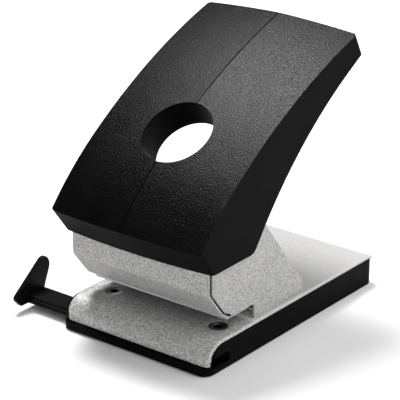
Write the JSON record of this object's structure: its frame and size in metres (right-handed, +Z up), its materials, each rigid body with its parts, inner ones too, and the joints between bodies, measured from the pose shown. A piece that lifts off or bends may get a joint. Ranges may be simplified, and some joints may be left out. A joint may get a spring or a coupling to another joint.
{
  "type": "two-hole paper punch",
  "caption": "Desktop paper punch: a long curved lever with a round finger hole presses hardened pins through the sheets into dies in a steel-topped base with chip tray and sliding guide.",
  "frame": {"origin": "on the table, midway between the axes of the two punches", "axes": "+X to the user's right, +Y to the rear, +Z up"},
  "size_m": [0.1482, 0.1839, 0.1754],
  "materials": {
    "lever_plastic": "satin black, finely textured moulding",
    "liner_plastic": "matt black moulding",
    "base_plastic": "satin black moulding",
    "guide_plastic": "matt black moulding",
    "silver_paint": "silver-grey powder paint with a fine fleck",
    "frame_steel": "zinc-plated pressed steel",
    "hard_steel": "ground, hardened steel",
    "fastener_steel": "zinc-plated",
    "spring_steel": "drawn spring wire",
    "rubber": "soft matt black"
  },
  "bodies": {
    "base": {"base_tray": "base_plastic", "rubber_ring": "rubber", "tray_screws": "fastener_steel", "hatch_pin": "fastener_steel", "base_plate": "silver_paint", "foot_rivets": "fastener_steel", "die_left": "hard_steel", "die_right": "hard_steel", "housing": "silver_paint", "front_cover": "silver_paint", "punch_frame": "frame_steel", "guide_block_left": "frame_steel", "guide_block_right": "frame_steel", "paper_stop": "frame_steel", "pivot_axle": "hard_steel", "axle_clips": "spring_steel", "axle_spacers": "guide_plastic", "guide_spring": "spring_steel"},
    "lever": {"lever_cover": "lever_plastic", "lever_liner": "liner_plastic", "lever_frame": "frame_steel", "frame_screws": "fastener_steel", "liner_screws": "fastener_steel"},
    "punch_left": {"punch_pin_left": "hard_steel", "return_spring_left": "spring_steel"},
    "punch_right": {"punch_pin_right": "hard_steel", "return_spring_right": "spring_steel"},
    "guide": {"paper_guide": "guide_plastic"},
    "hatch": {"chip_hatch": "base_plastic"}
  },
  "joints": [
    {"name": "lever_press", "type": "hinge", "parent": "base", "child": "lever", "pos_m": [0, -0.014, 0.072], "axis": [-1, 0, 0], "range_deg": [0, 40], "stiffness_Nm_per_rad": 1, "springref_deg": -28.65},
    {"name": "punch_left_slide", "type": "slide", "parent": "base", "child": "punch_left", "axis": [0, 0, -1], "range_m": [0, 0.00978], "deforming": ["return_spring_left"]},
    {"name": "punch_right_slide", "type": "slide", "parent": "base", "child": "punch_right", "axis": [0, 0, -1], "range_m": [0, 0.00978], "deforming": ["return_spring_right"]},
    {"name": "paper_guide_slide", "type": "slide", "parent": "base", "child": "guide", "axis": [-1, 0, 0], "range_m": [-0.0305, 0.0595]},
    {"name": "hatch_hinge", "type": "hinge", "parent": "base", "child": "hatch", "pos_m": [0, 0.1269, 0.0024], "axis": [1, 0, 0], "range_deg": [0, 85]}
  ],
  "couplings": [
    {"joint": "punch_left_slide", "follows": "lever_press", "m_per_rad": 0.014},
    {"joint": "punch_right_slide", "follows": "lever_press", "m_per_rad": 0.014}
  ]
}
